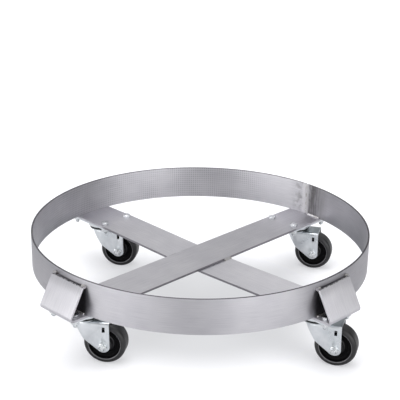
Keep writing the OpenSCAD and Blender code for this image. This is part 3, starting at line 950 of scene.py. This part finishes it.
def plateMaster():
    low, high = plateUnder, plateUnder + plateThick
    x, y, r = plates["long"] / 2, plates["wide"] / 2, plates["corner"]
    outline = roundedOutline([(-x, -y, r), (x, -y, r), (x, y, r), (-x, y, r)], 8)
    plate = prism("plate_shape", outline, lambda a, b, c: Vector((a, b, c)), low, high, materials["zinc"])
    drillForBolts(plate, 0, low)
    breakEdges(plate, 0.45 * mm)
    raceR, raceLow, pinR = plates["raceR"], low - races["drop"] + 2 * mm, races["plateBore"]
    # the race's rim is drawn down round the balls as a dust skirt
    skirtLow, skirtIn, cove = plates["skirtLow"], raceR - plates["skirt"], plates["cove"]
    race = [(pinR, raceLow)] + ballTrack(143, -106)
    race += [(skirtIn, raceLow), (skirtIn, skirtLow), (skirtIn + 0.4 * mm, skirtLow - 0.3 * mm),
             (raceR - 0.4 * mm, skirtLow - 0.3 * mm), (raceR, skirtLow + 0.1 * mm)]
    race += [(raceR + cove * (1 - math.cos(a)), low - cove + cove * math.sin(a))
             for a in [math.radians(15 * k) for k in range(7)]]
    race += [(raceR + cove, low + 0.5 * mm), (plates["pinHead"], low + 0.5 * mm),
             (plates["pinHead"], low + 0.1 * mm), (pinR, low + 0.1 * mm)]
    cutWith(plate, lathe("race_shape", race, materials["zinc"], 96), "UNION")
    drill(plate, plates["pinHead"], low + 0.1 * mm, high + 5 * mm, 64)
    drill(plate, pinR, 0, 2 * high, 64)
    return tidyMesh(plate, 35)


plateShape = plateMaster()
for side in sides:
    piece = placed(plateShape, "swivel_plate_" + side, plateMatrix(side))
    give(piece, "frame", "zinc_plate", "top_plate_" + side)
print("top plates made")

forks = {"half": 21 * mm, "sheet": 3 * mm, "roof": 80 * mm, "bend": 5.5 * mm, "nose": 4 * mm,
         "rear": 48 * mm,
         "crownR": 24 * mm, "crownTop": 85.5 * mm, "lobe": 12 * mm, "slot": (5 * mm, 9.5 * mm),
         "slotAt": (38.5 * mm, 66.8 * mm),
         "edge": 0.4 * mm}
past = 60 * mm    # how far the fork's cutting tools reach beyond it


# the fork's U from above, its nose round
def forkPlan(half, rear, steps=40):
    points = [Vector((forks["nose"] + half * math.cos(a), half * math.sin(a)))
              for a in [math.pi / 2 + math.pi * k / steps for k in range(steps + 1)]]
    return [Vector((rear, half))] + points + [Vector((rear, -half))]


# an upright shell of the U, rounded over into its roof
def forkShell(name, half, rear, low, roof, bend):
    rows = [[Vector((p.x, p.y, low)) for p in forkPlan(half, rear)]]
    for k in range(9):
        a = math.pi / 2 * k / 8
        inset, z = bend * (1 - math.cos(a)), roof - bend + bend * math.sin(a)
        rows.append([Vector((p.x, p.y, z)) for p in forkPlan(half - inset, rear)])
    return skinRows(name, rows, materials["zinc"])


def forkMaster():
    lobeX, lobeZ = trail - 0.5 * mm, axleZ - 0.5 * mm
    shell = forkShell("fork_shape", forks["half"], forks["rear"] + 4 * mm, 0, forks["roof"], forks["bend"])
    hollow = forkShell("hollow", forks["half"] - forks["sheet"], forks["rear"] + 12 * mm, -10 * mm,
                       forks["roof"] - forks["sheet"], forks["bend"] - forks["sheet"])
    cutWith(shell, hollow)
    lobe = [(lobeX + forks["lobe"] * math.cos(a), lobeZ + forks["lobe"] * math.sin(a), 0)
            for a in [math.radians(-127 + 110 * k / 20) for k in range(21)]]
    side = roundedOutline([(-25 * mm, 90 * mm, 0), (-25 * mm, 75 * mm, 0), (-15 * mm, 75 * mm, 5 * mm),
                           (4.6 * mm, 46 * mm, 5 * mm)] + lobe + [(forks["rear"], 90 * mm, 0)])
    keep = prism("keep", side, lambda a, b, c: Vector((a, c, b)), -past, past, materials["zinc"])
    cutWith(shell, keep, "INTERSECT")
    x, z = forks["slot"][0] / 2, forks["slot"][1] / 2
    slotX, slotZ = forks["slotAt"]
    slotLine = roundedOutline([(slotX - x, slotZ - z, 0.8 * mm), (slotX + x, slotZ - z, 0.8 * mm),
                               (slotX + x, slotZ + z, 0.8 * mm), (slotX - x, slotZ + z, 0.8 * mm)], 3)
    cutWith(shell, prism("slot", slotLine, lambda a, b, c: Vector((a, c, b)), -past, past,
                         materials["zinc"]))
    bolt = axleBolts["shank"] / 2 + 0.05 * mm
    onAxle = Matrix.Translation((trail, 0, axleZ)) @ Matrix.Rotation(quarterTurn, 4, "X")
    drill(shell, bolt, -past, past, 48, onAxle)
    breakEdges(shell, forks["edge"])
    # pressed crown that carries the balls
    r, top, roof = forks["crownR"], forks["crownTop"], forks["roof"]
    bore = races["forkBore"]
    crown = [(bore, roof - 1 * mm), (r - 2 * mm, roof - 1 * mm), (r, roof - 1 * mm)]
    crown += [(r - 1.6 * mm + 1.6 * mm * math.cos(a), top - 1.6 * mm + 1.6 * mm * math.sin(a))
              for a in [math.radians(15 * k) for k in range(7)]]
    crown += ballTrack(-37.3, -105.4) + [(bore, top)]
    cutWith(shell, lathe("crown", crown, materials["zinc"], 96), "UNION")
    drill(shell, bore, 60 * mm, 100 * mm, 96)
    return tidyMesh(shell, 35)


forkShape = forkMaster()
for side in sides:
    piece = placed(forkShape, "caster_fork_" + side, forkMatrix(side))
    give(piece, "swivel_" + side, "zinc_plate", "fork_" + side)
print("forks made:", len(forkShape.data.polygons), "faces")

axleBolt = boltMaster("axle_bolt_shape", axleBolts)
axleNut = nutMaster("axle_nut_shape", axleBolts)
axleParts = ((axleBolt, "axle_bolt", -forks["half"], 21), (axleNut, "axle_nut", forks["half"], 41))
for k, side in enumerate(sides):
    for shape, label, z, firstSeed in axleParts:
        piece = grow(label + "_set_" + side, [(0, 0, z)], [], setOut,
                     {"Part": shape, "Seed": firstSeed + k, "Material": materials["fastener"]})
        piece.data.transform(axleMatrix(side))
        smooth(piece, 30)
        give(piece, "swivel_" + side, "zinc_fastener", label + "_" + side)
for shape in (boltShape, nutShape, axleBolt, axleNut, plateShape, forkShape):
    bpy.data.objects.remove(shape)
print("axle bolts and nuts made")

wheelShape = lathe("wheel_shape", wheelHalf + [(r, -z) for r, z in wheelHalf[:0:-1]], materials["rubber"],
                   144, 50)
for side in sides:
    piece = placed(wheelShape, "caster_wheel_" + side, axleMatrix(side))
    give(piece, "roller_" + side, "hard_rubber", "wheel_" + side)
bpy.data.objects.remove(wheelShape)
print("wheels made")

stay = {"kingpin": "zinc", "lower_race": "zinc", "upper_balls": "ball", "lower_balls": "ball",
        "axle_sleeve": "fastener",
        "hub_bush": "bush"}
for label, key in stay.items():
    for side in sides:
        node = frame["nodes"][label + "_" + side]
        node.data.materials.clear()
        node.data.materials.append(materials[key])
for name in ("crossing_welds", "end_tack_welds"):
    frame["nodes"][name].data.materials.clear()
    frame["nodes"][name].data.materials.append(materials["weld"])

studio = {"floor": "#D9D9DB", "tint": "#FBFCFF", "lift": 0.41, "gap": 0.16, "top": 0.98,
          "shadeIn": 0.16, "shadeOut": 0.30, "shadeLift": 0.66, "shadeDepth": 0.85,
          "lampAt": (-0.3, 0.3, 3.2), "lampSize": 2.6, "lampPower": 42.0,
          "boxes": [  # soft boxes round the object: direction in degrees from +X, half width, brightness
              {"azimuth": 168, "width": 38, "level": 2.4},
              {"azimuth": -94, "width": 38, "level": 2.3},
              {"azimuth": 44, "width": 44, "level": 0.55},
              {"azimuth": -136, "width": 40, "level": 0.38}]}
# the floor is mid grey to what reflects in it and lifted to white where it is looked at
floorMaterial, tree, spot = newMaterial("white paper sweep")
paper = addNode(tree, "ShaderNodeBsdfDiffuse", {"Color": paint(studio["floor"])})
# painted shadow: under the object the paper is drawn as one even pale grey that fades outwards
outward = addNode(tree, "ShaderNodeVectorMath", {0: spot}, operation="LENGTH").outputs["Value"]
paintedFloorShadow = addNode(tree, "ShaderNodeMapRange", {"Value": outward, "From Min": studio["shadeOut"],
                                             "From Max": studio["shadeIn"]},
                interpolation_type="SMOOTHSTEP").outputs[0]
seenPaint = stain(tree, paint(studio["floor"]), paintedFloorShadow, "#000000", studio["shadeDepth"])
seenPaper = addNode(tree, "ShaderNodeBsdfDiffuse", {"Color": seenPaint})
lift = remap(tree, paintedFloorShadow, 0.0, 1.0, studio["lift"], studio["shadeLift"])
glow = addNode(tree, "ShaderNodeEmission", {"Color": paint(studio["tint"]), "Strength": lift})
both = addNode(tree, "ShaderNodeAddShader", {0: seenPaper.outputs[0], 1: glow.outputs[0]})
seen = addNode(tree, "ShaderNodeLightPath").outputs["Is Camera Ray"]
choice = addNode(tree, "ShaderNodeMixShader", {0: seen, 1: paper.outputs[0], 2: both.outputs[0]})
addNode(tree, "ShaderNodeOutputMaterial", {"Surface": choice.outputs[0]})
floor = meshObject("floor", [(-30, -30, 0), (30, -30, 0), (30, 30, 0), (-30, 30, 0)], [(0, 1, 2, 3)],
                   floorMaterial)

world = bpy.data.worlds.new("studio")
scene.world = world
world.use_nodes = True
tree = world.node_tree
tree.nodes.clear()
way = addNode(tree, "ShaderNodeTexCoord").outputs["Generated"]
parts = addNode(tree, "ShaderNodeSeparateXYZ", {"Vector": way}).outputs
level = remap(tree, parts["Z"], 0.45, 0.85, studio["gap"], studio["top"])
sideways = addNode(tree, "ShaderNodeCombineXYZ", {"X": parts["X"], "Y": parts["Y"]}).outputs[0]
flatWay = addNode(tree, "ShaderNodeVectorMath", {0: sideways}, operation="NORMALIZE").outputs[0]
low = remap(tree, parts["Z"], 0.35, 0.75, 1.0, 0.0)
for box in studio["boxes"]:
    angle = math.radians(box["azimuth"])
    facing = addNode(tree, "ShaderNodeVectorMath", {0: flatWay, 1: (math.cos(angle), math.sin(angle), 0)},
                     operation="DOT_PRODUCT").outputs["Value"]
    lobe = addNode(tree, "ShaderNodeMapRange",
                   {"Value": facing, "From Min": math.cos(math.radians(box["width"])),
                                                "From Max": 1.0, "To Max": box["level"]},
                   interpolation_type="SMOOTHSTEP").outputs[0]
    level = maths(tree, "ADD", level, maths(tree, "MULTIPLY", lobe, low))
back = addNode(tree, "ShaderNodeBackground", {"Color": paint("#FFFFFF"), "Strength": level})
addNode(tree, "ShaderNodeOutputWorld", {"Surface": back.outputs[0]})

lampData = bpy.data.lights.new("overhead", "AREA")
lampData.shape = "DISK"
lampData.size = studio["lampSize"]
lampData.energy = studio["lampPower"]
lamp = link(bpy.data.objects.new("overhead", lampData))
lamp.location = studio["lampAt"]
lamp.rotation_euler = (-Vector(studio["lampAt"])).to_track_quat("-Z", "Y").to_euler()

view = {"azimuth": -45.61, "elevation": 21.46, "distance": 2.0264, "target": (-0.0010, 0.0010, 0.2153),
        "lens": 100.2, "roll": 0.866}
cameraData = bpy.data.cameras.new("camera")
cameraData.lens = view["lens"]
cameraData.sensor_width = 36
camera = link(bpy.data.objects.new("camera", cameraData))
az, el, roll = (math.radians(view[key]) for key in ("azimuth", "elevation", "roll"))
right = Vector((math.cos(az), math.sin(az), 0))
backward = Vector((math.sin(az) * math.cos(el), -math.cos(az) * math.cos(el), math.sin(el)))
upward = backward.cross(right)
rolledRight = right * math.cos(roll) + upward * math.sin(roll)
rolledUp = upward * math.cos(roll) - right * math.sin(roll)
turned = Matrix((rolledRight, rolledUp, backward)).transposed().to_4x4()
camera.matrix_world = Matrix.Translation(Vector(view["target"]) + backward * view["distance"]) @ turned
scene.camera = camera
scene.view_settings.view_transform = "Standard"
print("stage set")
